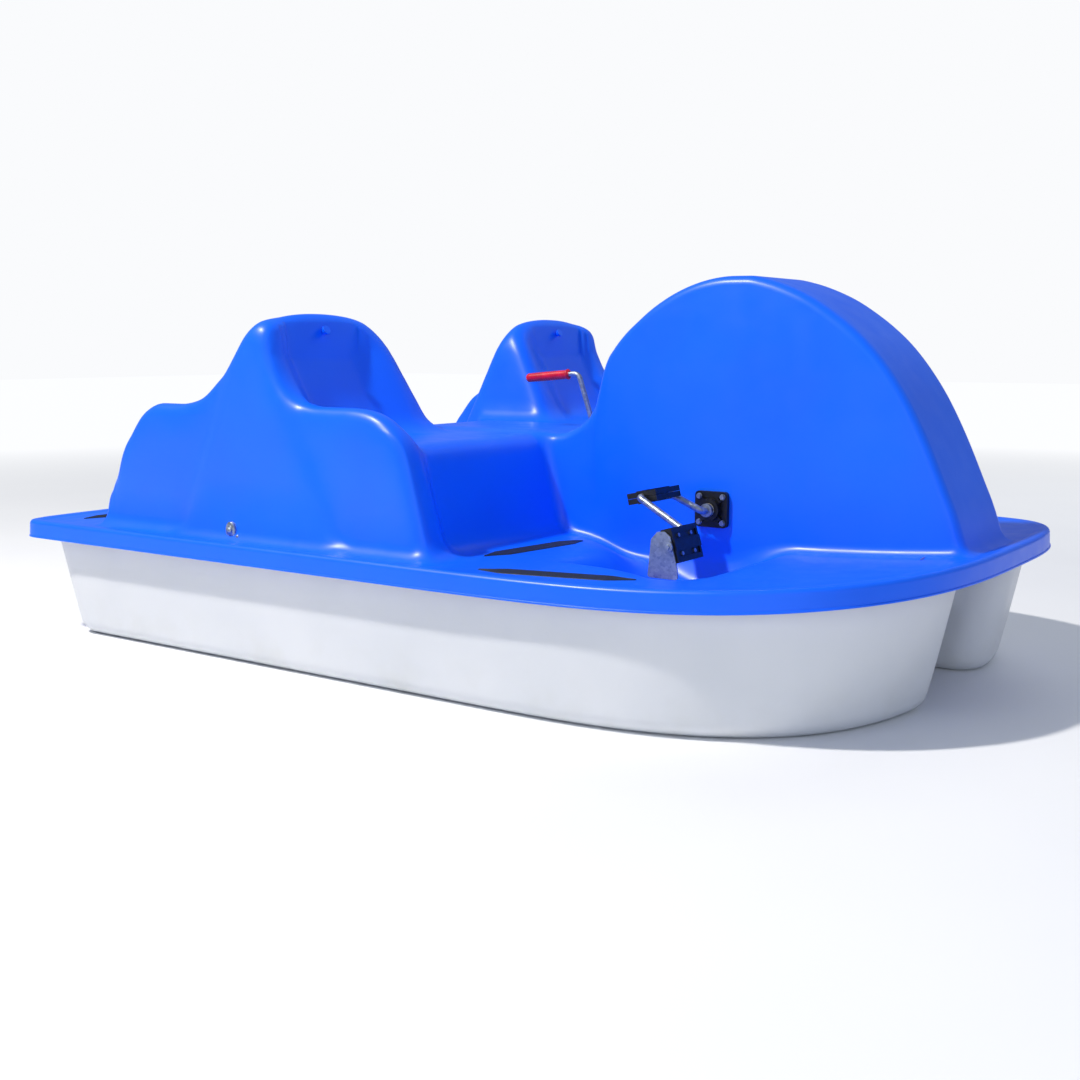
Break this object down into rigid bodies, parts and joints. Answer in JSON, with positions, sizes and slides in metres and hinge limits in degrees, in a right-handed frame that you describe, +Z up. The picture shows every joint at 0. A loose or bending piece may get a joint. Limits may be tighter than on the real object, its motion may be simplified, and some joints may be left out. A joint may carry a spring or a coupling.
{
  "type": "pedal boat",
  "caption": "Pedal boat: twin-pontoon hull, moulded deck with back-to-back seats, crank-driven paddle wheel in a round housing, hand lever and rudder.",
  "frame": {"origin": "under the middle of the boat, at the bottom of the pontoons", "axes": "+X towards the bow, +Y to port, +Z up"},
  "size_m": [2.93, 1.97, 1.13],
  "materials": {
    "blue_polyethylene": "moulded gloss",
    "white_polyethylene": "moulded satin",
    "foam": "cut foam",
    "black_rubber": "ribbed",
    "black_plastic": "moulded satin",
    "nylon": "turned",
    "blade_plastic": "moulded satin",
    "red_rubber": "soft satin",
    "galvanised_steel": "galvanised"
  },
  "bodies": {
    "boat": {"deck_shell": "blue_polyethylene", "hull_shell": "white_polyethylene", "foam_starboard": "foam", "foam_port": "foam", "rim_screws": "galvanised_steel", "strips_riser": "black_rubber", "strips_rim": "black_rubber", "strips_stern": "black_rubber", "back_plugs": "blue_polyethylene", "drain_flanges": "galvanised_steel", "drain_plugs": "galvanised_steel", "tether_screws": "black_rubber", "bearing_block_starboard": "black_plastic", "bearing_block_port": "black_plastic", "bearing_bush_starboard": "nylon", "bearing_bush_port": "nylon", "bearing_bolts": "galvanised_steel", "bearing_nuts": "galvanised_steel", "steering_bush": "black_plastic", "steering_footstep": "black_plastic", "rudder_bush": "black_plastic"},
    "paddle_wheel": {"wheel_hub": "galvanised_steel", "wheel_side_starboard": "galvanised_steel", "wheel_side_port": "galvanised_steel", "wheel_blades": "blade_plastic", "blade_bolts": "galvanised_steel", "blade_nuts": "galvanised_steel", "hub_bolts": "galvanised_steel", "hub_pins": "galvanised_steel", "crank_starboard": "galvanised_steel", "crank_port": "galvanised_steel", "shaft_collars": "galvanised_steel", "pin_washers": "galvanised_steel", "pin_bolts": "galvanised_steel"},
    "pedal_starboard_inner": {"pedal_si_front": "black_plastic", "pedal_si_rear": "black_plastic", "pedal_si_screws": "galvanised_steel"},
    "pedal_starboard_outer": {"pedal_so_front": "black_plastic", "pedal_so_rear": "black_plastic", "pedal_so_screws": "galvanised_steel", "pedal_so_plate": "galvanised_steel"},
    "pedal_port_inner": {"pedal_pi_front": "black_plastic", "pedal_pi_rear": "black_plastic", "pedal_pi_screws": "galvanised_steel"},
    "pedal_port_outer": {"pedal_po_front": "black_plastic", "pedal_po_rear": "black_plastic", "pedal_po_screws": "galvanised_steel", "pedal_po_plate": "galvanised_steel"},
    "steering": {"steering_lever": "galvanised_steel", "steering_grip": "red_rubber", "steering_arm": "galvanised_steel", "arm_pin": "galvanised_steel"},
    "link": {"steering_link": "galvanised_steel"},
    "rudder": {"rudder_post": "galvanised_steel", "rudder_tiller": "galvanised_steel", "tiller_pin": "galvanised_steel", "rudder_blade": "galvanised_steel", "rudder_bolts": "galvanised_steel"}
  },
  "joints": [
    {"name": "wheel_spin", "type": "hinge", "parent": "boat", "child": "paddle_wheel", "pos_m": [0.659, 0, 0.468], "axis": [0, 1, 0], "continuous": true},
    {"name": "pedal_starboard_inner_spin", "type": "hinge", "parent": "paddle_wheel", "child": "pedal_starboard_inner", "pos_m": [0.56013, -0.343, 0.51622], "axis": [0, 1, 0], "continuous": true},
    {"name": "pedal_starboard_outer_spin", "type": "hinge", "parent": "paddle_wheel", "child": "pedal_starboard_outer", "pos_m": [0.75787, -0.534, 0.41978], "axis": [0, 1, 0], "continuous": true},
    {"name": "pedal_port_inner_spin", "type": "hinge", "parent": "paddle_wheel", "child": "pedal_port_inner", "pos_m": [0.56013, 0.343, 0.51622], "axis": [0, 1, 0], "continuous": true},
    {"name": "pedal_port_outer_spin", "type": "hinge", "parent": "paddle_wheel", "child": "pedal_port_outer", "pos_m": [0.75787, 0.534, 0.41978], "axis": [0, 1, 0], "continuous": true},
    {"name": "lever_turn", "type": "hinge", "parent": "boat", "child": "steering", "pos_m": [0.134, 0, 0.3], "axis": [0, 0, 1], "range_deg": [-32, 32]},
    {"name": "link_turn", "type": "hinge", "parent": "steering", "child": "link", "pos_m": [0.134, -0.06, 0.3], "axis": [0, 0, 1], "range_deg": [-32, 32]},
    {"name": "rudder_turn", "type": "hinge", "parent": "boat", "child": "rudder", "pos_m": [-1.08, 0, 0.3], "axis": [0, 0, 1], "range_deg": [-32, 32]}
  ],
  "couplings": [
    {"joint": "link_turn", "follows": "lever_turn", "ratio": -1},
    {"joint": "rudder_turn", "follows": "lever_turn", "ratio": 1}
  ]
}
